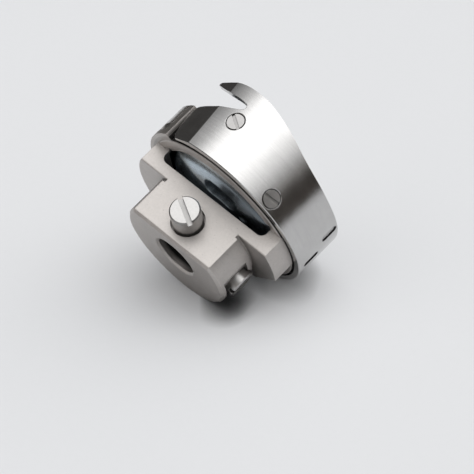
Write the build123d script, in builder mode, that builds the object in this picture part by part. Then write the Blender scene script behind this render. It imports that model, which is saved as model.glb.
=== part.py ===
from build123d import *
from math import asin, cos, degrees, radians, sin, sqrt
import os

# Rotary lockstitch hook with its basket, bobbin case and bobbin, in millimetres.
# Y is the turning axis: the hub's rear face is at y = 0 and the open front faces -Y.
# A depth is a distance in front of the hub's rear face, so y = -depth. +Z is the normal
# of the hub's milled flat. Angles are in degrees about the axis, from +X towards +Z.
#
# Name endings: _r radius, _a angle, _d depth, _d0 and _d1 rear and front depth,
# _at an (angle, depth) pair. "angles", "radii" and "depths" are (start, end) pairs.
# Cuts that leave the material overrun it by a loose amount.

# ---- driving dimensions shared by several pieces --------------------------------
hub_r = 10.8
flat_z = 6.48                      # milled flat, and half thickness of the bridge

race_d0, race_d1 = 16.5, 18.5      # groove in the ring that carries the basket's rib
lip_r = 13.6                       # inner radius of the front lips
ring_r = 15.9                      # ring under the plate

plate_r, plate_in_r = 17.0, 15.92
plate_screws_at = [(83.6, 19.8, -31), (129.6, 14.3, 12.5), (250.0, 14.3, 20)]
#                  angle, depth, turn of the slot

set_screw_d = 4.45                 # both set screws
set_head_r, set_shank_r = 2.65, 2.05
side_a = 196.0                     # side set screw
side_flat_r = 9.7                  # height of the milled seat round it, from the axis

guard_angles = (6.0, 43.0)
guard_screw_at = (22.0, 15.6)

basket_d0, basket_front = 10.9, 22.6
stud_r = 2.04
tube_r, tube_in_r = 2.98, 2.1

case_r = 11.7
channel_d, channel_z, channel_x1 = 22.85, 3.7, 7.9    # latch channel in the case's face
leaf_angles, leaf_depths = (150.0, 232.0), (15.2, 19.8)
tension_screw_at = (172.0, 17.5)
fix_screw_at = (224.0, 17.5)
leaf_screws_at = (tension_screw_at, fix_screw_at)

hinge_x, hinge_d = -8.6, 23.9      # latch lever hinge
hinge_pin_r = 0.45

os.makedirs("parts", exist_ok=True)


# ---- helpers --------------------------------------------------------------------
def save(part, name):
    part.label = name
    export_step(part, f"parts/{name}.step")


def at_depth(depth):
    # plane across the axis: x is +X, y is +Z, and the normal points to the front
    return Plane.XZ.offset(depth)


def around(angle, radius):
    # plane at an angle and a radius: x runs round the hook, y is the depth,
    # and the normal points outwards
    outward = Vector(cos(radians(angle)), 0, sin(radians(angle)))
    along = Vector(-sin(radians(angle)), 0, cos(radians(angle)))
    return Plane(origin=outward * radius, x_dir=along, z_dir=outward)


def profile(*stations):
    # (radius, depth) stations as points of a half section on Plane.XY
    return [(radius, -depth) for radius, depth in stations]


def polar(angle, radius):
    return (radius * cos(radians(angle)), radius * sin(radians(angle)))


def sector_points(start, end, radius):
    # the centre, then points on an arc
    steps = max(2, int((end - start) / 30) + 1)
    arc = [polar(start + (end - start) * i / steps, radius) for i in range(steps + 1)]
    return [(0, 0)] + arc


def ring_sector(angles, radii, depths):
    # part of a flat-ended ring; made outside the builder that adds or cuts it
    inner, outer = radii
    rear, front = depths
    with BuildPart() as sector:
        with BuildSketch(at_depth(rear)):
            Polygon(*sector_points(*angles, outer * 1.3), align=None)
            Circle(outer, mode=Mode.INTERSECT)
            Circle(inner, mode=Mode.SUBTRACT)
        extrude(amount=front - rear)
    return sector.part


def boss(plane, radius, length, centre=(0, 0), mode=Mode.ADD, taper=0):
    # round boss on the builder that is active where this is called
    with BuildSketch(plane) as disc:
        with Locations(centre):
            Circle(radius)
    extrude(disc.sketch, amount=length, taper=taper, mode=mode)


def drill(plane, radius, length, centre=(0, 0), taper=0):
    boss(plane, radius, length, centre, Mode.SUBTRACT, taper)


def slotted_screw(at, turn, shank_r, shank_span, head_r, head_span, slot_floor, slot_size,
                  edge=0):
    # radial screw; spans and slot floor are distances from the axis,
    # edge is the chamfer round the top of the head
    angle, depth = at
    head_top = head_span[1]
    outward = around(angle, 0).z_dir
    with BuildPart() as screw:
        for radius, (foot, top) in ((shank_r, shank_span), (head_r, head_span)):
            boss(around(angle, foot), radius, top - foot, (0, depth))
        if edge:
            chamfer(screw.edges().filter_by(GeomType.CIRCLE).filter_by(
                lambda e: abs(e.center().dot(outward) - head_top) < 0.01), edge)
        with BuildSketch(around(angle, slot_floor)):
            with Locations(Location((0, depth), turn)):
                Rectangle(*slot_size)
        extrude(amount=3, mode=Mode.SUBTRACT)
    return screw.part


# ---- hook body: hub, neck, bridge with a window, ring with the race ---------------
bore_r = 3.97                  # for a 7.94 mm shaft
bore_chamfer = 0.38
hub_len = 7.3
hub_chamfer = 0.45
neck_r = 10.35                 # shallow relief between hub and bridge
bridge_r = 15.66               # ends of the bridge
bridge_d0, bridge_d1 = 7.86, 12.3
window_d0, window_len = 10.05, 3.2    # window between the bridge bar and the ring
window_x = 11.65
flat_edge_r = 0.3

bevel_bottom_z = -flat_z - 0.5
arm_bevel = [(-16.5, -0.9), (-15.6, -0.9), (-9.7, bevel_bottom_z), (-16.5, bevel_bottom_z)]  # x, z

ring_in_r = 13.0
race_r = 15.25
ring_d0 = 11.95                # rear face of the ring's raised band
ring_groove_d = 12.9           # bottom of the groove between the ring and the plate
ring_back_d = ring_d0 + 0.15   # rear face inside the raised band
band_r0, band_r1 = 14.3, 15.46
band_chamfer = 0.1
score_radii = (13.30, 13.66)   # two V scores in the rear face
score_half, score_deep = 0.08, 0.12

open_angles = (-60.0, 49.0)    # part of the ring with no plate over it
open_depths = (12.05, 19.05)

screw_gap = 0.03               # set screw shank to its hole
top_pocket_z = 5.3
side_seat_mid_d, side_seat_size = 3.75, (14, 5.3)
side_pocket_r = side_flat_r - 0.7

open_ring = ring_sector(open_angles, (race_r, plate_r), open_depths)
point_lip = ring_sector((70.5, 96.0), (lip_r, ring_r), (race_d1, 20.9))
point_lip_low = ring_sector((50.0, 71.0), (lip_r, ring_r), (race_d1, open_depths[1]))
guard_seat = ring_sector(guard_angles, (16.4, 18.0), (13.2, 20.0))

scores = []
for score_r in score_radii:
    scores += [(score_r - score_half, ring_back_d),
               (score_r, ring_back_d + score_deep),
               (score_r + score_half, ring_back_d)]

with BuildPart() as hook_body:
    boss(Plane.XZ, hub_r, hub_len)
    boss(at_depth(hub_len), neck_r, bridge_d0 - hub_len)
    with BuildSketch(at_depth(bridge_d0)):
        Circle(bridge_r)
        Rectangle(40, 2 * flat_z, mode=Mode.INTERSECT)
    extrude(amount=bridge_d1 - bridge_d0)
    # milled flat, running from the hub on to the bridge
    with BuildSketch(Plane.XZ):
        with Locations((0, flat_z)):
            Rectangle(40, 20, align=(Align.CENTER, Align.MIN))
    extrude(amount=bridge_d1, mode=Mode.SUBTRACT)
    # rear edge of the hub
    rear_rim = hook_body.faces().sort_by(Axis.Y)[-1].outer_wire().edges()
    chamfer(rear_rim, hub_chamfer)
    # one arm is bevelled underneath for balance
    with BuildSketch(at_depth(bridge_d0)):
        Polygon(*arm_bevel, align=None)
    extrude(amount=6, mode=Mode.SUBTRACT)
    # ring
    with BuildSketch(Plane.XY):
        with BuildLine():
            Polyline(*profile(
                (ring_in_r, ring_back_d), *scores, (band_r0, ring_back_d), (band_r0, ring_d0),
                (band_r1 - band_chamfer, ring_d0), (band_r1, ring_d0 + band_chamfer),
                (band_r1, ring_groove_d), (ring_r, ring_groove_d), (ring_r, race_d1),
                (race_r, race_d1), (race_r, race_d0), (ring_in_r, race_d0)), close=True)
        make_face()
    revolve(axis=Axis.Y)
    add(open_ring)
    add(point_lip)
    add(point_lip_low)
    # bore of the ring, race, window
    drill(at_depth(ring_d0 - 0.01), ring_in_r, 8)
    with BuildSketch(at_depth(race_d0)):
        Circle(race_r)
        Circle(ring_in_r - 1, mode=Mode.SUBTRACT)
    extrude(amount=race_d1 - race_d0, mode=Mode.SUBTRACT)
    with BuildSketch(Plane.XY.offset(-flat_z - 1)) as window:
        with Locations((0, -window_d0)):
            Rectangle(2 * window_x, window_len, align=(Align.CENTER, Align.MAX))
        fillet(window.vertices().group_by(Axis.Y)[-1], 1.2)
    extrude(amount=2 * flat_z + 2, mode=Mode.SUBTRACT)
    # shaft bore and its chamfered mouth, which starts just behind the rear face
    drill(Plane.XZ, bore_r, window_d0 + 0.5)
    with BuildSketch(Plane.XY):
        with BuildLine():
            Polyline((0, 0.01), (bore_r + bore_chamfer + 0.01, 0.01), (bore_r, -bore_chamfer),
                     (0, -bore_chamfer), close=True)
        make_face()
    revolve(axis=Axis.Y, mode=Mode.SUBTRACT)
    # set screw holes with clearance pockets at their mouths
    drill(Plane.XY, set_shank_r + screw_gap, flat_z + 1, (0, -set_screw_d))
    drill(Plane.XY.offset(top_pocket_z), set_head_r + 0.3, 3, (0, -set_screw_d))
    drill(around(side_a, 0), set_shank_r + screw_gap, 12, (0, set_screw_d))
    with BuildSketch(around(side_a, side_flat_r)):
        with Locations((0, side_seat_mid_d)):
            Rectangle(*side_seat_size)
    extrude(amount=3, mode=Mode.SUBTRACT)
    drill(around(side_a, side_pocket_r), set_head_r + 0.13, 3, (0, set_screw_d))
    # tapped holes for the plate screws
    for angle, depth, turn in plate_screws_at:
        drill(around(angle, 14.1), 0.83, 2.2, (0, depth))
    # seat of the needle guard, its tapped hole and the pocket of the screw's head
    add(guard_seat, mode=Mode.SUBTRACT)
    guard_screw_a, guard_screw_d = guard_screw_at
    drill(around(guard_screw_a, 14.6), 0.73, 2, (0, guard_screw_d))
    drill(around(guard_screw_a, 16.0), 1.3, 2, (0, guard_screw_d))
    # rubbed edges of the milled flat
    fillet(hook_body.edges().filter_by(GeomType.LINE).filter_by(
        lambda e: abs(e.center().Z - flat_z) < 0.01 and e.center().Y > -8 and e.length > 4),
        flat_edge_r)
save(hook_body.part, "hook_body")


# ---- polished outer plate with the hook point --------------------------------------
plate_d0, plate_d1 = 12.2, 26.6
plate_end_a = 298.0
plate_chamfer = 0.12
lower_rim_d = 21.85            # plain rim over the lower half
screw_pocket_r = 1.66
relief_a, relief_r, relief_d = 56, 16.555, 16.7    # a point on the ground relief
relief_lean = 0.0282           # rearward lean of its normal, as a slope
oil_slots_at = [(180, 19.85), (188.5, 15.2)]
oil_slot_size = (3.3, 1.3)
tangent_a = 66.0               # the point and its notch are laid out on the tangent plane here


def on_tangent(*stations):
    return [(plate_r * sin(radians(angle - tangent_a)), depth) for angle, depth in stations]


# outline of the point and notch as (angle, depth); each curve starts where the last ends
point_front = on_tangent((88.0, 26.1), (82.2, 26.22), (73.8, 26.3), (65.9, 26.1), (58.4, 25.6),
                         (52.6, 25.1))
point_tip = on_tangent((52.6, 25.1), (51.55, 24.8), (51.4, 24.45))
point_back = on_tangent((51.4, 24.45), (60.0, 24.0), (70.0, 23.72), (76.4, 23.62), (79.9, 23.45))
notch_root = on_tangent((79.9, 23.45), (81.9, 23.1), (82.05, 22.6), (80.6, 22.12))
notch_front = on_tangent((80.6, 22.12), (77.2, 21.6), (71.2, 21.0), (64.5, 20.4), (56.9, 19.8),
                         (53.4, 19.4))
plate_heel = on_tangent((53.4, 19.4), (51.2, 18.9), (50.4, 17.9), (50.8, 16.0), (52.3, 14.2),
                        (54.6, 12.9), (57.0, 12.1))
point_outline = (point_front, point_tip, point_back, notch_root, notch_front, plate_heel)

# front rim over the upper half as (angle, depth)
rim_stations = [(84.0, 26.17), (90.3, 26.0), (99.8, 25.35), (110.1, 24.5), (121.4, 23.45),
                (132.8, 22.65), (144.7, 22.2), (156.6, 21.93), (168.0, lower_rim_d)]
rim = [(plate_r * cos(radians(angle)), -depth) for angle, depth in rim_stations]

plate_lip = ring_sector((97.0, plate_end_a), (lip_r, plate_in_r + 0.2), (race_d1 + 0.1, 19.9))
plate_span = ring_sector((45.0, plate_end_a), (15.0, 18.0), (12.0, 27.0))
lower_front = ring_sector((180.0, plate_end_a + 5), (15.0, 18.0), (lower_rim_d, 28.0))
relief = around(relief_a, relief_r)

with BuildPart() as hook_plate:
    with BuildSketch(at_depth(plate_d0)):
        Circle(plate_r)
        Circle(plate_in_r, mode=Mode.SUBTRACT)
    extrude(amount=plate_d1 - plate_d0)
    chamfer(hook_plate.edges().filter_by(GeomType.CIRCLE).filter_by(
        lambda e: abs(e.radius - plate_r) < 0.01 and abs(e.center().Y + plate_d0) < 0.01),
        plate_chamfer)
    add(plate_span, mode=Mode.INTERSECT)
    # front edge over the point, the notch behind the point, and the heel of the plate
    with BuildSketch(around(tangent_a, 10)):
        with BuildLine():
            Polyline((-16, 11), (-16, 30), (point_front[0][0], 30), point_front[0])
            for curve in point_outline:
                Spline(*curve)
            Polyline(plate_heel[-1], (plate_heel[-1][0], 11), (-16, 11))
        make_face()
    extrude(amount=12, mode=Mode.SUBTRACT)
    # rim over the upper half, then the plain lower half
    with BuildSketch(Plane.XY):
        with BuildLine():
            Spline(*rim)
            Polyline(rim[-1], (-18.5, -lower_rim_d), (-18.5, -30), (rim[0][0], -30), rim[0])
        make_face()
    extrude(amount=20, mode=Mode.SUBTRACT)
    add(lower_front, mode=Mode.SUBTRACT)
    add(plate_lip)
    # flat relief ground behind the hook point
    with BuildSketch(Plane(origin=relief.origin + Vector(0, -relief_d, 0), x_dir=relief.x_dir,
                           z_dir=relief.z_dir + Vector(0, relief_lean, 0))):
        Rectangle(14, 40)
    extrude(amount=3, mode=Mode.SUBTRACT)
    # countersunk pockets and screw holes
    for angle, depth, turn in plate_screws_at:
        drill(around(angle, 16.12), screw_pocket_r, 2, (0, depth))
        drill(around(angle, 16.78), screw_pocket_r - 0.1, 0.6, (0, depth), taper=-45)
        drill(around(angle, 14.5), 0.85, 2, (0, depth))
    # shallow oil slots in the -X side of the plate
    for angle, depth in oil_slots_at:
        with BuildSketch(around(angle, plate_r - 0.2)):
            with Locations(Location((0, depth), 90)):
                SlotOverall(*oil_slot_size)
        extrude(amount=2, mode=Mode.SUBTRACT)
save(hook_plate.part, "hook_plate")


# ---- plate screws, one piece of three solids -----------------------------------------
plate_screw_solids = [
    slotted_screw((angle, depth), turn,
                  shank_r=0.8, shank_span=(14.35, 16.25),
                  head_r=1.5, head_span=(16.14, 16.97),
                  slot_floor=16.62, slot_size=(4, 0.55))
    for angle, depth, turn in plate_screws_at]
with BuildPart() as plate_screws:
    for screw_solid in plate_screw_solids:
        add(screw_solid)
save(plate_screws.part, "plate_screws")


# ---- hub clamping screws --------------------------------------------------------------
set_screw_foot = 4.12
set_slot_size = (7, 0.85)
set_edge = 0.22
top_head_top, side_head_top = 10.55, 11.45

set_screw_top = slotted_screw(
    (90, set_screw_d), -27.6,
    shank_r=set_shank_r, shank_span=(set_screw_foot, set_screw_foot + 1.4),
    head_r=set_head_r, head_span=(5.4, top_head_top),
    slot_floor=top_head_top - 0.95, slot_size=set_slot_size, edge=set_edge)
save(set_screw_top, "set_screw_top")

set_screw_side = slotted_screw(
    (side_a, set_screw_d), 65,
    shank_r=set_shank_r, shank_span=(set_screw_foot, set_screw_foot + 5.2),
    head_r=set_head_r, head_span=(side_flat_r - 0.6, side_head_top),
    slot_floor=side_head_top - 1.05, slot_size=set_slot_size, edge=set_edge)
save(set_screw_side, "set_screw_side")


# ---- needle guard and its screw ---------------------------------------------------------
guard_radii = (16.43, 16.98)
guard_rear_d = 13.35
guard_start_a = guard_angles[0] + 0.4
guard_end_a = guard_angles[1] - 0.4

guard_blank = ring_sector((guard_start_a, guard_end_a), guard_radii, (guard_rear_d, 19.0))
guard_step = ring_sector((30.0, guard_end_a), guard_radii, (guard_rear_d, 14.8))
with BuildPart() as needle_guard:
    add(guard_blank)
    add(guard_step, mode=Mode.SUBTRACT)
    drill(around(guard_screw_a, 15), 1.3, 4, (0, guard_screw_d))
save(needle_guard.part, "needle_guard")

needle_guard_screw = slotted_screw(
    guard_screw_at, 60,
    shank_r=0.7, shank_span=(14.8, 16.1),
    head_r=1.23, head_span=(16.02, 16.95),
    slot_floor=16.65, slot_size=(4, 0.32))
save(needle_guard_screw, "needle_guard_screw")


# ---- basket (bobbin case holder) ----------------------------------------------------------
basket_floor_d = 13.0
basket_r, basket_in_r = 12.75, 11.85
basket_edge = 0.2                       # chamfers of the front rim
dome_r0, dome_r1 = 4.5, 10.9            # domed part of the basket's back
dome_curve_r = 20.0
dome_tilt = degrees(asin((dome_r1 - dome_r0) / dome_curve_r))
shoulder_curve_r = (basket_r - dome_r1) / (1 - sin(radians(dome_tilt)))
rib_r = 15.2
rib_d0, rib_d1 = race_d0 + 0.05, race_d1 - 0.05
rib_edge = 0.15
oil_hole_at = (-6.04, 4.84)             # x, z
kidney_angles = (84.0, 114.0)
kidney_mid_r, kidney_half = 7.6, 1.7


def dome(radius):
    # (radius, depth) on the dome
    return (radius, basket_d0 + dome_curve_r - sqrt(dome_curve_r ** 2 - (radius - dome_r0) ** 2))


def shoulder(tilt):
    # (radius, depth) on the rounded edge, which is tangent to the dome and to the wall
    centre_d = dome(dome_r1)[1] + shoulder_curve_r * cos(radians(dome_tilt))
    return (basket_r - shoulder_curve_r + shoulder_curve_r * sin(radians(tilt)),
            centre_d - shoulder_curve_r * cos(radians(tilt)))


rib_gap = ring_sector((-62.0, -24.0), (basket_r, rib_r + 1), (race_d0 - 0.5, race_d1 + 0.5))
basket_back = at_depth(basket_d0 - 0.01)
with BuildPart() as basket:
    with BuildSketch(Plane.XY):
        with BuildLine():
            Line(*profile((0, basket_d0), (dome_r0, basket_d0)))
            ThreePointArc(*profile((dome_r0, basket_d0), dome(0.5 * (dome_r0 + dome_r1)),
                                   dome(dome_r1)))
            ThreePointArc(*profile(dome(dome_r1), shoulder(0.5 * (dome_tilt + 90)),
                                   shoulder(90)))
            Polyline(*profile(
                shoulder(90), (basket_r, rib_d0), (rib_r - rib_edge, rib_d0),
                (rib_r, rib_d0 + rib_edge), (rib_r, rib_d1 - rib_edge),
                (rib_r - rib_edge, rib_d1), (basket_r, rib_d1),
                (basket_r, basket_front - basket_edge), (basket_r - basket_edge, basket_front),
                (basket_in_r + basket_edge, basket_front),
                (basket_in_r, basket_front - basket_edge),
                (basket_in_r, basket_floor_d), (0, basket_floor_d), (0, basket_d0)))
        make_face()
    revolve(axis=Axis.Y)
    # seat of the stud and its recessed back
    drill(at_depth(basket_d0), stud_r, 2.3)
    drill(basket_back, 3.0, 0.46)
    # stepped oil hole and kidney opening through the floor
    drill(basket_back, 0.75, 2.6, oil_hole_at)
    drill(basket_back, 1.0, 0.4, oil_hole_at)
    with BuildSketch(basket_back):
        Polygon(*sector_points(*kidney_angles, 13.0), align=None)
        Circle(kidney_mid_r + kidney_half, mode=Mode.INTERSECT)
        Circle(kidney_mid_r - kidney_half, mode=Mode.SUBTRACT)
        with Locations(*[polar(angle, kidney_mid_r) for angle in kidney_angles]):
            Circle(kidney_half)
    extrude(amount=2.6, mode=Mode.SUBTRACT)
    # notch for the case's finger, and the holding notch for the machine's finger
    with BuildSketch(around(90, 10)):
        with Locations((0, basket_front + 0.5)):
            Rectangle(3.7, 1.9, align=(Align.CENTER, Align.MAX))
    extrude(amount=5, mode=Mode.SUBTRACT)
    with BuildSketch(around(124, 10)) as hold:
        with Locations((0, basket_front + 0.5)):
            Rectangle(4.2, 3.3, align=(Align.CENTER, Align.MAX))
        fillet(hold.vertices().group_by(Axis.Y)[-1], 0.7)
    extrude(amount=5, mode=Mode.SUBTRACT)
    # thread gap in the bearing rib
    add(rib_gap, mode=Mode.SUBTRACT)
    # window in the -Z side of the wall
    with BuildSketch(around(270, 10)):
        with Locations((0, 20.6)):
            RectangleRounded(9.0, 2.0, 0.9)
    extrude(amount=4, mode=Mode.SUBTRACT)
save(basket.part, "basket")


# ---- stud of the basket: flanged foot, shank, necked tip -------------------------------------
foot_d = basket_d0 + 0.45      # front of the foot
with BuildPart() as basket_stud:
    with BuildSketch(Plane.XY):
        with BuildLine():
            Polyline(*profile(
                (0, basket_d0 + 0.03), (2.6, basket_d0 + 0.03), (2.95, basket_d0 + 0.2),
                (2.95, foot_d), (stud_r, foot_d), (stud_r, 22.95), (1.5, 23.1),
                (1.5, 23.42), (1.75, 23.5), (1.75, 23.62), (1.35, 23.75), (0, 23.75)),
                close=True)
        make_face()
    revolve(axis=Axis.Y)
save(basket_stud.part, "basket_stud")


# ---- bobbin case -------------------------------------------------------------------------------
case_d0, case_face_in, case_face = 13.1, 22.4, 23.5    # rear edge, face inside and outside
case_in_r = 10.65
case_edge = 0.15               # chamfer of the rear edge
face_hole_r = tube_r + 0.01

leaf_seat = ring_sector((leaf_angles[0] - 1, leaf_angles[1] + 1), (11.36, 12.5),
                        (leaf_depths[0] - 0.1, leaf_depths[1] + 0.1))
with BuildPart() as bobbin_case:
    with BuildSketch(Plane.XY) as shell:
        with BuildLine():
            Polyline(*profile(
                (face_hole_r, case_face_in), (case_in_r, case_face_in), (case_in_r, case_d0),
                (case_r - case_edge, case_d0), (case_r, case_d0 + case_edge),
                (case_r, case_face), (face_hole_r, case_face)), close=True)
        make_face()
        fillet(shell.vertices().filter_by(
            lambda v: abs(v.X - case_r) < 0.01 and v.Y < -case_face_in), 0.55)
    revolve(axis=Axis.Y)
    # channel for the latch
    with BuildSketch(at_depth(channel_d)):
        with Locations((channel_x1, 0)):
            Rectangle(30, 2 * channel_z, align=(Align.MAX, Align.CENTER))
    extrude(amount=2, mode=Mode.SUBTRACT)
    # seat of the leaf spring and its screw holes
    add(leaf_seat, mode=Mode.SUBTRACT)
    for angle, depth in leaf_screws_at:
        drill(around(angle, 10), 0.53, 3, (0, depth))
    # thread slit, running under the leaf spring
    with BuildSketch(around(147.5, 10)):
        with Locations((0, case_d0 - 0.5)):
            Rectangle(0.55, 4.9, align=(Align.CENTER, Align.MIN))
    extrude(amount=3, mode=Mode.SUBTRACT)
    with BuildSketch(around(153, 10)):
        with Locations((0, 17.2)):
            Rectangle(4.0, 0.6)
    extrude(amount=3, mode=Mode.SUBTRACT)
    # mouth cut-out in the rear edge
    with BuildSketch(around(290, 9)) as mouth:
        with Locations((0, case_d0 - 0.5)):
            Rectangle(9.0, 3.4, align=(Align.CENTER, Align.MIN))
        fillet(mouth.vertices().group_by(Axis.Y)[0], 0.8)
    extrude(amount=5, mode=Mode.SUBTRACT)
    # positioning finger
    with BuildSketch(at_depth(case_face_in - 0.2)) as finger:
        with Locations((0, 11.2)):
            Rectangle(3.1, 2.2, align=(Align.CENTER, Align.MIN))
        fillet(finger.vertices().group_by(Axis.Y)[-1], 0.6)
    extrude(amount=case_face - case_face_in)
save(bobbin_case.part, "bobbin_case")


# ---- tube of the case, between the stud and the bobbin --------------------------------------------
tube_d0 = 14.2
with BuildPart() as case_tube:
    with BuildSketch(at_depth(tube_d0)):
        Circle(tube_r)
        Circle(tube_in_r, mode=Mode.SUBTRACT)
    extrude(amount=channel_d - tube_d0)
    chamfer(case_tube.faces().sort_by(Axis.Y)[-1].outer_wire().edges(), 0.2)
save(case_tube.part, "case_tube")


# ---- tension leaf spring and its screws -------------------------------------------------------------
leaf_blank = ring_sector(leaf_angles, (11.38, 11.6), leaf_depths)
leaf_trim = ring_sector((leaf_angles[0] - 1, 163.0), (11.0, 12.0),
                        (leaf_depths[0] - 1, leaf_depths[0] + 1.0))
with BuildPart() as tension_spring:
    add(leaf_blank)
    add(leaf_trim, mode=Mode.SUBTRACT)
    for angle, depth in leaf_screws_at:
        drill(around(angle, 10), 0.56, 3, (0, depth))
    with BuildSketch(around(196, 10)):
        with Locations((0, 17.5)):
            SlotOverall(5.0, 1.3)
    extrude(amount=3, mode=Mode.SUBTRACT)
save(tension_spring.part, "tension_spring")

for name, at, turn in (("tension_screw", tension_screw_at, 40),
                       ("spring_screw", fix_screw_at, -15)):
    leaf_screw = slotted_screw(at, turn,
                               shank_r=0.5, shank_span=(10.75, 11.65),
                               head_r=0.95, head_span=(11.61, 11.78),
                               slot_floor=11.68, slot_size=(3, 0.28))
    save(leaf_screw, name)


# ---- three-armed brake spring in front of the bobbin ---------------------------------------------------
with BuildPart() as brake_spring:
    with BuildSketch(at_depth(22.2)):
        Circle(5.2)
        with PolarLocations(0, 3):
            with Locations((6.0, 0)):
                Rectangle(5.0, 2.4)
        Circle(tube_r + 0.02, mode=Mode.SUBTRACT)
    extrude(amount=0.18)
save(brake_spring.part, "brake_spring")


# ---- latch: catch plate, hinge pin, lever, spring ---------------------------------------------------------
latch_travel = 1.5
slide_d0 = channel_d + 0.08
slide_x1, slide_len = 5.0, 15.0
keyhole_width = 2 * (stud_r + 0.16)
ear_z = 2.95

with BuildPart() as latch_slide:
    with BuildSketch(at_depth(slide_d0)) as catch_plate:
        with Locations((slide_x1, 0)):
            Rectangle(slide_len, 2 * (channel_z - 0.1), align=(Align.MAX, Align.CENTER))
        fillet(catch_plate.vertices().group_by(Axis.X)[0], 0.9)
        # keyhole round the stud, open towards the hinge by the plate's travel
        with Locations((-latch_travel / 2, 0)):
            SlotOverall(keyhole_width + latch_travel, keyhole_width, mode=Mode.SUBTRACT)
        with Locations((hinge_x, 0)):
            Rectangle(2.6, 5.3, mode=Mode.SUBTRACT)
    extrude(amount=0.46)
    # ears that carry the hinge pin
    for side in (-1, 1):
        with BuildSketch(at_depth(slide_d0)):
            with Locations((hinge_x, side * ear_z)):
                Rectangle(1.9, 0.56)
        extrude(amount=1.75)
    drill(Plane.XY.offset(-5), hinge_pin_r, 10, (hinge_x, -hinge_d))
save(latch_slide.part, "latch_slide")

pin_len = 6.4
with BuildPart() as latch_pin:
    boss(Plane.XY.offset(-pin_len / 2), hinge_pin_r, pin_len, (hinge_x, -hinge_d))
save(latch_pin.part, "latch_pin")

lever_d0, lever_thick = 23.86, 0.5
lever_x1 = 9.4
barrel_len = 5.0               # knuckle round the pin, and the lever's width at the waist
with BuildPart() as latch_lever:
    with BuildSketch(at_depth(lever_d0)) as lever:
        with Locations((lever_x1, 0)):
            Rectangle(lever_x1 - hinge_x, 6.6, align=(Align.MAX, Align.CENTER))
        fillet(lever.vertices().group_by(Axis.X)[-1], 2.4)
        # waist between the ears
        for side in (-1, 1):
            with Locations((hinge_x, side * 4.5)):
                Rectangle(2.9, 2 * (4.5 - barrel_len / 2), mode=Mode.SUBTRACT)
        # opening over the stud
        with Locations((0.4, 0)):
            SlotOverall(6.4, 4.4, mode=Mode.SUBTRACT)
    extrude(amount=lever_thick)
    boss(Plane.XY.offset(-barrel_len / 2), 0.82, barrel_len, (hinge_x, -hinge_d))
    drill(Plane.XY.offset(-2.6), hinge_pin_r + 0.03, 5.2, (hinge_x, -hinge_d))
    # finger nail groove
    with BuildSketch(at_depth(lever_d0 + 0.3)):
        with Locations((7.4, 0)):
            SlotOverall(3.6, 0.7, rotation=90)
    extrude(amount=0.5, mode=Mode.SUBTRACT)
save(latch_lever.part, "latch_lever")

# the coil stands between the end of the catch plate and the end of the channel
coil_path = Helix(pitch=0.52, height=2.34, radius=0.2,
                  center=(slide_x1 + 0.15, -(channel_d + 0.33), 0), direction=(1, 0, 0))
with BuildPart() as latch_spring:
    with BuildSketch(Plane(origin=coil_path @ 0, z_dir=coil_path % 0)):
        RegularPolygon(0.1, 12)
    sweep(path=coil_path, is_frenet=True)
save(latch_spring.part, "latch_spring")


# ---- bobbin: core and two pierced flanges --------------------------------------------------------------------
bobbin_r, core_r, bobbin_bore_r = 10.5, 3.9, 3.05
bobbin_d0, bobbin_d1 = 13.3, 22.1
flange_thick = 0.7

with BuildPart() as bobbin_core:
    with BuildSketch(at_depth(bobbin_d0)):
        Circle(core_r)
        Circle(bobbin_bore_r, mode=Mode.SUBTRACT)
    extrude(amount=bobbin_d1 - bobbin_d0)
save(bobbin_core.part, "bobbin_core")

with BuildPart() as bobbin_flanges:
    for depth in (bobbin_d0, bobbin_d1 - flange_thick):
        with BuildSketch(at_depth(depth)):
            Circle(bobbin_r)
            Circle(core_r, mode=Mode.SUBTRACT)
            with PolarLocations(7.0, 5):
                Circle(1.3, mode=Mode.SUBTRACT)
        extrude(amount=flange_thick)
    chamfer(bobbin_flanges.edges().filter_by(GeomType.CIRCLE).filter_by(
        lambda e: abs(e.radius - bobbin_r) < 0.01), 0.15)
save(bobbin_flanges.part, "bobbin_flanges")
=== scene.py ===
"""Looks for a rotary hook with its basket, bobbin case and bobbin, on a pale studio floor.

Metres, in the frame of the CAD. Y is the turning axis and depth runs along -Y.
+Z is the hub's milled flat. The floor is tilted in this frame; the camera looks down on it.
"""
import math
from functools import cached_property

import bpy
from mathutils import Matrix, Vector


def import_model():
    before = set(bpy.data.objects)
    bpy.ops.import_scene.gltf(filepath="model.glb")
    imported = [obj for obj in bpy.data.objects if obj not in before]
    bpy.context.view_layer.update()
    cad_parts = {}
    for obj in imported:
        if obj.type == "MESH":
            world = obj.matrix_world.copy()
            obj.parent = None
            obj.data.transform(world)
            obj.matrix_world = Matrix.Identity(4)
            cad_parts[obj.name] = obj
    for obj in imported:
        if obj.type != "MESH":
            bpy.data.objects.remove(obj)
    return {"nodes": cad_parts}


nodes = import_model()["nodes"]
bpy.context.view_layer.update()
scene = bpy.context.scene

# the floor's plane, and two directions that lie in it
UP = Vector((0.2974, -0.4622, 0.8353)).normalized()
FLOOR_AT = -0.00937                 # distance from the origin along UP
side = Vector((1, 0, 0)) - UP * UP.x
side.normalize()
along = UP.cross(side)

CAMERA_RIGHT = (-0.72554, -0.67880, -0.11325)
PALE = (0.755, 0.765, 0.782)        # what the camera sees far off

# target ranges for Tree.span
RISE = (0.0, 1.0)
FALL = (1.0, 0.0)


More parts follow.
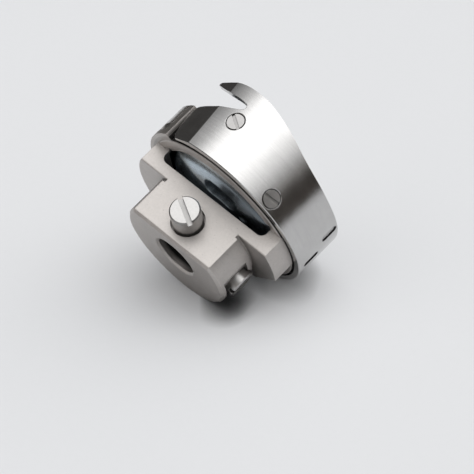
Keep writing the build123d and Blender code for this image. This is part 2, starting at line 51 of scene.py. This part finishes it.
# ---- node trees ----------------------------------------------------------------------
class Tree:
    """Builds a node tree. A value can be a number, a tuple or another node's output."""

    def __init__(self, owner):
        owner.use_nodes = True
        self.tree = owner.node_tree
        self.tree.nodes.clear()
        self.count = 0

    def add(self, kind, inputs=None, **props):
        node = self.tree.nodes.new(kind)
        node.location = (220 * (self.count % 12), -260 * (self.count // 12))
        self.count += 1
        for key, value in props.items():
            setattr(node, key, value)
        for key, value in (inputs or {}).items():
            self.put(node.inputs[key], value)
        return node

    def put(self, socket, value):
        if isinstance(value, bpy.types.NodeSocket):
            self.tree.links.new(value, socket)
        elif value is not None:
            socket.default_value = value

    def math(self, op, *values, clamp=False):
        inputs = dict(enumerate(values))
        return self.add("ShaderNodeMath", inputs, operation=op, use_clamp=clamp).outputs[0]

    def plus(self, a, b):
        return self.math("ADD", a, b)

    def minus(self, a, b):
        return self.math("SUBTRACT", a, b)

    def times(self, a, b, clamp=False):
        return self.math("MULTIPLY", a, b, clamp=clamp)

    def vmath(self, op, *values, output="Vector"):
        inputs = dict(enumerate(values))
        return self.add("ShaderNodeVectorMath", inputs, operation=op).outputs[output]

    def dot(self, a, b):
        return self.vmath("DOT_PRODUCT", a, b, output="Value")

    def length(self, vector):
        return self.vmath("LENGTH", vector, output="Value")

    def scaled(self, vector, factors):
        return self.vmath("MULTIPLY", vector, factors)

    def span(self, value, source, target=RISE, smooth=False):
        """Maps the source range to the target range, held at both ends."""
        inputs = dict(enumerate((value, *source, *target)))
        kind = "SMOOTHSTEP" if smooth else "LINEAR"
        node = self.add("ShaderNodeMapRange", inputs, clamp=True, interpolation_type=kind)
        return node.outputs[0]

    def mix(self, factor, a, b, blend="MIX"):
        a, b = [v + (1.0,) if isinstance(v, tuple) else v for v in (a, b)]
        inputs = {0: factor, 6: a, 7: b}        # 6 and 7 are the colour sockets
        node = self.add("ShaderNodeMix", data_type="RGBA", blend_type=blend)
        for key, value in inputs.items():
            self.put(node.inputs[key], value)
        return node.outputs[2]

    def mix_number(self, factor, a, b):
        inputs = {0: factor, 2: a, 3: b}
        return self.add("ShaderNodeMix", inputs, data_type="FLOAT").outputs[0]

    def mix_shader(self, factor, a, b):
        return self.add("ShaderNodeMixShader", {0: factor, 1: a, 2: b}).outputs[0]

    def noise(self, vector, scale, detail, rough, distortion=0.0):
        inputs = {"Vector": vector, "Scale": scale, "Detail": detail,
                  "Roughness": rough, "Distortion": distortion}
        return self.add("ShaderNodeTexNoise", inputs, noise_dimensions="3D").outputs[0]

    def comb(self, x, y, z):
        return self.add("ShaderNodeCombineXYZ", {0: x, 1: y, 2: z}).outputs[0]

    def grey(self, value):
        return self.comb(value, value, value)

    def camera_ray(self):
        return self.add("ShaderNodeLightPath").outputs["Is Camera Ray"]


class Surface(Tree):
    """A material's tree with the measures of the hook, each made when first used."""

    @cached_property
    def pos(self):
        return self.add("ShaderNodeTexCoord").outputs["Object"]

    @cached_property
    def xyz(self):
        return self.add("ShaderNodeSeparateXYZ", {0: self.pos}).outputs

    @cached_property
    def depth(self):
        return self.times(self.xyz[1], -1.0)

    @cached_property
    def radius(self):
        return self.length(self.scaled(self.pos, (1, 0, 1)))

    @cached_property
    def turned(self):
        """Coordinates that vary little round the axis."""
        drift = self.scaled(self.pos, (0.016, 0.016, 0.016))
        return self.vmath("ADD", self.comb(self.radius, self.depth, 0.0), drift)


# ---- worked steel --------------------------------------------------------------------
# soil and painted shade, laid into the corners by an AO node
GRIME_AND_SHADE = (0.035, 0.032, 0.030)
# painted shade for bands in the shaft bore, the groove by the plate and the ring's steps
SHADE_BAND_DARK = (0.010, 0.010, 0.010)
BORE_AND_SLOT_SHADE = (0.012, 0.011, 0.011)         # painted shade in the bore and round the slots
RING_DARK = (0.05, 0.046, 0.043)
# painted dark reflection on the basket's back
BASKET_DARK_REFLECTION = (0.020, 0.021, 0.023)

# scale, detail and roughness of the fine lines, then of the broader bands
MARKS = {
    "round": ((26000, 2.5, 0.6), (5200, 2.0, 0.6)),
    "flat": ((21000, 2.5, 0.6), (4200, 2.0, 0.6)),
    "cast": ((9000, 3.0, 0.6), (2600, 2.0, 0.55)),
    "deep": ((15000, 2.0, 0.6), (4600, 2.0, 0.6)),
}
SLOT_HALF_LENGTH = 0.00165
SLOT_HALF_WIDTH = 0.00065


def shade(colour, gain, lift=0.0):
    return tuple(min(1.0, x * gain + lift) for x in colour)


def marks(t, grain):
    """The fine lines and the bands of one grain; deep is turned, but coarser than round."""
    if grain == "cast":
        where = t.pos
    elif grain == "flat":
        where = t.scaled(t.pos, (0.03, 1.0, 1.0))
    else:
        where = t.turned
    return [t.noise(where, *settings) for settings in MARKS[grain]]


def scratched(t, colour, base, cloud, amount):
    """A few long hair scratches, laid at two slants."""
    for k, slant in enumerate(((1.0, 0.25, 0.06), (0.05, 0.9, 1.0))):
        where = t.vmath("ADD", t.scaled(t.pos, slant), (0.013 * k, 0.0, 0.0))
        wave = t.noise(where, scale=3000, detail=1.0, rough=0.5, distortion=0.4)
        line = t.span(t.math("ABSOLUTE", t.minus(wave, 0.5)), (0.0, 0.006), (amount, 0.0))
        line = t.times(line, t.span(cloud, (0.5, 0.6)))
        colour = t.mix(line, colour, shade(base, 1.25, 0.04))
    return colour


def ring_marks(t, colour, base, start, share):
    """Strong dark and bright rings beyond the start depth."""
    rings = t.noise(t.comb(t.radius, 0.0, 0.0), scale=3300, detail=1.5, rough=0.6)
    zone = t.span(t.depth, (start, start + 0.0002), (0.0, share))
    colour = t.mix(t.times(t.span(rings, (0.40, 0.52), FALL), zone), colour, RING_DARK)
    return t.mix(t.times(t.span(rings, (0.56, 0.66)), zone), colour, shade(base, 1.5))


def shade_band(t, inner, outer, start, full, share):
    soft = 0.00004
    band = t.times(t.span(t.radius, (inner - soft, inner)),
                   t.span(t.radius, (outer, outer + soft), FALL))
    return t.times(band, t.span(t.depth, (start, full), (0.0, share)))


def slot_shade_line(t, degrees, middle):
    """A thin painted shade line round the edge of a slot in the side, long in depth."""
    a = math.radians(degrees)
    across = t.dot(t.pos, (-math.sin(a), 0.0, math.cos(a)))
    lengthwise = t.math("ABSOLUTE", t.minus(t.depth, middle))
    past = t.math("MAXIMUM", t.minus(lengthwise, SLOT_HALF_LENGTH - SLOT_HALF_WIDTH), 0.0)
    reach = t.math("SQRT", t.plus(t.times(across, across), t.times(past, past)))
    off = t.math("ABSOLUTE", t.minus(reach, SLOT_HALF_WIDTH))
    line = t.span(off, (0.00008, 0.00017), (0.95, 0.0))
    outward = t.dot(t.pos, (math.cos(a), 0.0, math.sin(a)))
    return t.times(line, t.span(outward, (0.0150, 0.0155)))


def steel(name, parts, base, rough, bump, grain_rough, mottle, grime_and_shade_amount, grain="round",
          edge=0.5, edge_r=0.00008, streak=0.35, aniso=0.0, pits=0.0, scratches=0.0,
          turned_from=None, painted_bore_shade=None, ringed=None, shade_bands=(), shaded_slots=(),
          lean=None, dark_reflection_side=None):
    """Makes a worked steel with rubbed edges, partly wear and partly painted highlight, and with
    soil and painted shade darkening the corners, and puts it on the parts.

    grain: round = turned round the axis, flat = drawn along X, cast = without direction
    edge, edge_r: brightness and radius of the rubbed edges, partly wear and partly painted
    highlight
    turned_from: the depth beyond which the marks run round the axis
    painted_bore_shade: (radius, depth) of a painted shade in the bore    ringed: (depth, share) of strong rings
    oiled: (inner radius, outer radius, start depth, full depth, share) of each band of painted
    shade
    outlined: (angle in degrees, depth) of each slot with a painted shade line round its edge
    lean: a tilt of the shading normal    tempered: (x0, x1, share) of a painted dark reflection, darkest at x0
    """
    material = bpy.data.materials.new(name)
    t = Surface(material)
    fine, band = marks(t, grain)
    if turned_from:
        zone = t.span(t.depth, (turned_from - 0.0001, turned_from + 0.0001))
        deep_fine, deep_band = marks(t, "deep")
        fine = t.mix_number(zone, fine, deep_fine)
        band = t.mix_number(zone, band, deep_band)
    cloud = t.noise(t.pos, scale=420, detail=3.0, rough=0.55)

    # rubbed edges show where the rounded normal turns from the true one; their lighter colour is
    # partly wear and partly a painted highlight
    normal = t.add("ShaderNodeNewGeometry").outputs["Normal"]
    rounded = t.add("ShaderNodeBevel", {"Radius": edge_r}, samples=4).outputs[0]
    turn = t.minus(1.0, t.dot(rounded, normal))
    patchy = t.span(cloud, (0.3, 0.62), (0.45, 1.0))
    worn_and_highlit = t.times(t.span(turn, (0.01, 0.20)), patchy, clamp=True)

    # soil and painted shade in the corners, where the AO node finds them
    corners = t.add("ShaderNodeAmbientOcclusion", {"Distance": 0.0016}, samples=4)
    grime_and_shade = t.times(t.minus(1.0, corners.outputs["AO"]), grime_and_shade_amount, clamp=True)

    # colour, from the metal outwards
    colour = t.mix(t.span(cloud, (0.32, 0.68)), shade(base, 1 - mottle), shade(base, 1 + mottle))
    colour = t.mix(t.span(band, (0.35, 0.65), (0.0, streak)), colour, shade(base, 0.84))
    colour = t.mix(t.times(worn_and_highlit, edge, clamp=True), colour, shade(base, 1.3, 0.08))
    if pits:
        specks = t.noise(t.pos, scale=3600, detail=1.0, rough=0.5)
        colour = t.mix(t.span(specks, (0.70, 0.76), (0.0, pits)), colour, shade(base, 0.35))
    if scratches:
        colour = scratched(t, colour, base, cloud, scratches)
    # the colour darkens with soil and painted shade in the corners
    colour = t.mix(grime_and_shade, colour, GRIME_AND_SHADE)

    # roughness varies with the marks and clouds; rubbing lowers it and the corner mask of soil
    # and painted shade raises it
    gloss = t.plus(rough, t.times(t.minus(fine, 0.5), grain_rough * 2))
    gloss = t.plus(gloss, t.times(t.minus(cloud, 0.5), 0.10))
    gloss = t.minus(gloss, t.times(worn_and_highlit, edge * 0.2))
    gloss = t.plus(gloss, t.times(grime_and_shade, 0.25))

    if painted_bore_shade:
        bore_r, bore_depth = painted_bore_shade
        # painted shade in the bore, past the given depth
        inside = t.times(t.span(t.radius, (bore_r, bore_r + 0.00012), FALL),
                         t.span(t.depth, (bore_depth - 0.0001, bore_depth + 0.0001)))
        colour = t.mix(t.times(inside, 0.94), colour, BORE_AND_SLOT_SHADE)
        gloss = t.plus(gloss, t.times(inside, 0.2))
    if ringed:
        colour = ring_marks(t, colour, base, *ringed)
    # bands of painted shade
    for zone in shade_bands:
        colour = t.mix(shade_band(t, *zone), colour, SHADE_BAND_DARK)
    # a painted shade line round each slot
    for slot in shaded_slots:
        colour = t.mix(slot_shade_line(t, *slot), colour, BORE_AND_SLOT_SHADE)
    # a painted dark reflection, darkest towards x0
    if dark_reflection_side:
        x0, x1, share = dark_reflection_side
        colour = t.mix(t.span(t.xyz[0], (x0, x1), (share, 0.0), smooth=True), colour, BASKET_DARK_REFLECTION)

    rest = rounded
    if lean:
        rest = t.vmath("NORMALIZE", t.vmath("ADD", rest, lean))
    relief = t.add("ShaderNodeBump", {
        "Strength": bump, "Distance": 0.000012,
        "Height": t.plus(fine, t.times(band, 1.3)), "Normal": rest})
    metal = t.add("ShaderNodeBsdfPrincipled", {
        "Base Color": colour, "Metallic": 1.0,
        "Roughness": t.math("MAXIMUM", gloss, 0.06), "Normal": relief.outputs[0]})
    if aniso:
        tangent = t.add("ShaderNodeTangent", direction_type="RADIAL", axis="Y")
        t.put(metal.inputs["Anisotropic"], aniso)
        t.put(metal.inputs["Tangent"], tangent.outputs[0])
    t.add("ShaderNodeOutputMaterial", {0: metal.outputs[0]})

    for part in parts:
        mesh = nodes[part].data
        mesh.materials.clear()
        mesh.materials.append(material)
        for face in mesh.polygons:
            face.material_index = 0


BORE_DEPTH = 0.0122         # the painted bore shade and the rings start here

steel("satin_steel", ["hook_body"], base=(0.50, 0.474, 0.454), rough=0.46, grain="cast",
      bump=0.30, grain_rough=0.10, mottle=0.05, pits=0.3, grime_and_shade_amount=0.22, streak=0.3,
      edge_r=0.00012, turned_from=0.01185, painted_bore_shade=(0.01302, BORE_DEPTH),
      ringed=(BORE_DEPTH, 0.45),
      # painted shade: deep in the shaft bore, in the groove between ring and plate, and thin
      # lines at the ring's steps
      shade_bands=((0.0, 0.00400, 0.0009, 0.0015, 0.93),
             (0.01540, 0.0163, 0.0120, BORE_DEPTH, 0.9),
             (0.01315, 0.0136, BORE_DEPTH, 0.0124, 0.55),
             (0.01422, 0.01445, BORE_DEPTH, 0.0124, 0.5)))
steel("brushed_steel", ["hook_plate"], base=(0.535, 0.53, 0.525), rough=0.16, bump=0.34,
      grain_rough=0.08, aniso=0.35, edge=0.8, edge_r=0.00009, mottle=0.03, grime_and_shade_amount=0.5,
      # painted shade lines round the two slots
      streak=0.3, scratches=0.25, shaded_slots=((180.0, 0.01985), (188.5, 0.0152)))
steel("screw_steel", ["plate_screws", "set_screw_top", "set_screw_side",
                      "needle_guard_screw", "spring_screw", "tension_screw"],
      base=(0.46, 0.452, 0.444), rough=0.31, grain="cast", bump=0.14, grain_rough=0.06,
      mottle=0.06, grime_and_shade_amount=0.35, scratches=0.3)
steel("basket_steel", ["basket_stud"], base=(0.56, 0.61, 0.65), rough=0.26, bump=0.14,
      grain_rough=0.05, mottle=0.05, grime_and_shade_amount=0.15)
steel("basket_back_steel", ["basket"], base=(0.50, 0.57, 0.625), rough=0.27, bump=0.14,
      grain_rough=0.05, mottle=0.05, grime_and_shade_amount=0.15, lean=(0.12, 0.0, 0.38),
      # the -X side of the basket's back gets a painted dark reflection
      dark_reflection_side=(-0.006, 0.004, 0.72))
steel("case_steel", ["bobbin_case", "case_tube"], base=(0.60, 0.59, 0.575), rough=0.22,
      bump=0.20, grain_rough=0.06, mottle=0.04, grime_and_shade_amount=0.5)
steel("lever_steel", ["latch_slide", "latch_lever", "latch_pin"], base=(0.62, 0.61, 0.595),
      rough=0.24, grain="flat", bump=0.20, grain_rough=0.06, mottle=0.04, grime_and_shade_amount=0.5)
steel("spring_steel", ["tension_spring", "brake_spring", "latch_spring"],
      base=(0.47, 0.465, 0.455), rough=0.24, grain="flat", bump=0.16, grain_rough=0.05,
      edge_r=0.00005, mottle=0.06, grime_and_shade_amount=0.4)
steel("guard_steel", ["needle_guard"], base=(0.53, 0.52, 0.51), rough=0.20, bump=0.18,
      grain_rough=0.05, edge_r=0.00006, mottle=0.05, grime_and_shade_amount=0.5)
steel("bobbin_metal", ["bobbin_core", "bobbin_flanges"], base=(0.62, 0.625, 0.63),
      rough=0.30, bump=0.28, grain_rough=0.07, mottle=0.04, grime_and_shade_amount=0.4)

# ---- floor: a pale disc that fades out with distance ---------------------------------
FLOOR_RADIUS = 0.30
SPOKES = 96
RINGS = 10
FLOOR_ALBEDO = (0.664, 0.673, 0.688)
SHADE_FILL = 0.16                   # how much, for camera rays, the floor is a pale glow in place of lit diffuse: painted light that fills in the shade

centre = Vector((0, -0.012, 0))
foot = centre - UP * (centre.dot(UP) - FLOOR_AT)


def build_floor():
    verts = [foot[:]]
    for j in range(1, RINGS + 1):
        for i in range(SPOKES):
            a = 2 * math.pi * i / SPOKES
            ray = side * math.cos(a) + along * math.sin(a)
            verts.append((foot + ray * (FLOOR_RADIUS * j / RINGS))[:])
    faces = [(0, 1 + i, 1 + (i + 1) % SPOKES) for i in range(SPOKES)]
    for j in range(1, RINGS):
        start = 1 + (j - 1) * SPOKES
        for i in range(SPOKES):
            a, b = start + i, start + (i + 1) % SPOKES
            faces.append((a, a + SPOKES, b + SPOKES, b))
    mesh = bpy.data.meshes.new("floor")
    mesh.from_pydata(verts, [], faces)
    floor = bpy.data.objects.new("floor", mesh)
    scene.collection.objects.link(floor)
    return floor


def floor_material():
    material = bpy.data.materials.new("floor")
    t = Surface(material)
    distance = t.length(t.vmath("SUBTRACT", t.pos, tuple(foot)))
    fade = t.span(distance, (0.085, 0.24), smooth=True)
    back = t.add("ShaderNodeNewGeometry").outputs["Backfacing"]
    gone = t.math("MAXIMUM", fade, back)

    # painted contact shadow from an AO node, its strength set by the place across the view
    near = t.add("ShaderNodeAmbientOcclusion", {"Distance": 0.005}, samples=12)
    across = t.dot(t.pos, CAMERA_RIGHT)
    strength = t.minus(t.span(across, (0.004, 0.009), (0.15, 3.2)),
                       t.span(across, (0.0105, 0.016), (0.0, 2.4)))
    painted_contact_shadow = t.grey(t.math("POWER", near.outputs["AO"], strength))

    cloud = t.span(t.noise(t.pos, scale=900, detail=3.0, rough=0.6), (0.3, 0.7))
    colour = t.mix(cloud, shade(FLOOR_ALBEDO, 0.995), shade(FLOOR_ALBEDO, 1.005))
    # the painted contact shadow darkens both the lit floor and its pale glow
    matt = t.add("ShaderNodeBsdfDiffuse", {"Color": t.mix(1.0, colour, painted_contact_shadow, "MULTIPLY")})
    pale_painted_glow = t.add("ShaderNodeEmission", {"Color": t.mix(1.0, PALE, painted_contact_shadow, "MULTIPLY")})
    clear = t.add("ShaderNodeBsdfTransparent").outputs[0]
    soft = t.mix_shader(t.times(t.camera_ray(), SHADE_FILL), matt.outputs[0], pale_painted_glow.outputs[0])
    t.add("ShaderNodeOutputMaterial", {0: t.mix_shader(gone, soft, clear)})
    return material


build_floor().data.materials.append(floor_material())

# ---- studio: one broad soft light overhead, a dim room round the horizon -------------
LIGHT = 2.0
ROOM = (0.03, 0.03, 0.03)
# elevation above the floor in degrees, brightness: towards +side, then towards -side
SKY_RIGHT = [(-90, 0.03), (-2, 0.03), (8, 0.02), (24, 0.035), (34, 0.055), (41, 0.16),
             (48, 0.25), (57, 0.35), (64, 0.52), (71, 0.84), (78, 1.1)]
SKY_LEFT = [(-90, 0.03), (-2, 0.03), (10, 0.03), (16, 0.055), (23, 0.18), (31, 0.32),
            (38, 0.50), (45, 0.65), (52, 0.78), (60, 1.0), (78, 1.1)]


def sky(t, half, stops):
    """A brightness ramp over half, which runs 0 to 1 from straight down to straight up."""
    node = t.add("ShaderNodeValToRGB", {0: half})
    elements = node.color_ramp.elements
    elements.remove(elements[-1])
    for i, (degrees, level) in enumerate(stops):
        place = 0.5 + 0.5 * math.sin(math.radians(degrees))
        stop = elements.new(place) if i else elements[0]
        stop.position = place
        stop.color = (level, level, level, 1)
    return node.outputs[0]


world = bpy.data.worlds.new("studio")
scene.world = world
t = Tree(world)
ray = t.add("ShaderNodeTexCoord").outputs["Generated"]
rise = t.dot(ray, tuple(UP))
sideways = t.dot(ray, tuple(side))
forward = t.dot(ray, tuple(along))
half = t.math("MULTIPLY_ADD", rise, 0.5, 0.5)
right, left = sky(t, half, SKY_RIGHT), sky(t, half, SKY_LEFT)
level = t.mix(t.span(sideways, (-0.35, 0.35), smooth=True), left, right)

# the dark behind the camera
behind = t.dot(ray, tuple((side * -0.65 + along * 0.76).normalized()))
dim = t.times(t.span(behind, (0.64, 0.92), (0.0, 0.85), smooth=True),
              t.span(rise, (0.72, 0.9), FALL, smooth=True))
level = t.mix(dim, level, ROOM)

# fill from one side of the camera
fill = t.times(t.span(forward, (0.32, 0.72), (0.0, 0.40), smooth=True),
               t.span(rise, (0.03, 0.22), smooth=True))
fill = t.times(fill, t.span(sideways, (-0.35, 0.05), smooth=True))
level = t.mix(1.0, level, t.grey(fill), "ADD")

# a low soft panel on the -Y side, facing the open side of the hook
panel = t.times(t.span(t.dot(ray, (0.0, -1.0, 0.0)), (0.60, 0.92), (0.0, 0.42), smooth=True),
                t.span(rise, (-0.1, 0.15), (0.35, 1.0), smooth=True))
level = t.mix(1.0, level, t.grey(panel), "ADD")

# warm near the horizon
warm = t.mix(t.span(rise, (0.0, 0.5)), (1.0, 0.86, 0.74), (1.0, 1.0, 1.0))
lit = t.add("ShaderNodeBackground",
            {"Color": t.mix(1.0, level, warm, "MULTIPLY"), "Strength": LIGHT})
seen = t.add("ShaderNodeBackground", {"Color": PALE + (1.0,), "Strength": 1.0})
shown = t.mix_shader(t.camera_ray(), lit.outputs[0], seen.outputs[0])
t.add("ShaderNodeOutputWorld", {0: shown})

# ---- camera --------------------------------------------------------------------------
CAMERA_UP = (0.57158, -0.68604, 0.45016)
CAMERA_BACK = (-0.38326, 0.26188, 0.88574)

lens = bpy.data.cameras.new("camera")
lens.sensor_width = 36.0
lens.lens = 180.74
lens.clip_start = 0.01
lens.clip_end = 10.0
camera = bpy.data.objects.new("camera", lens)
scene.collection.objects.link(camera)
place = Matrix((CAMERA_RIGHT, CAMERA_UP, CAMERA_BACK)).transposed().to_4x4()
place.translation = Vector((-0.158315, 0.094954, 0.353176))
camera.matrix_world = place
scene.camera = camera

view = scene.view_settings
view.view_transform = "Standard"
view.look = "None"
view.exposure = 0.0
view.gamma = 1.0
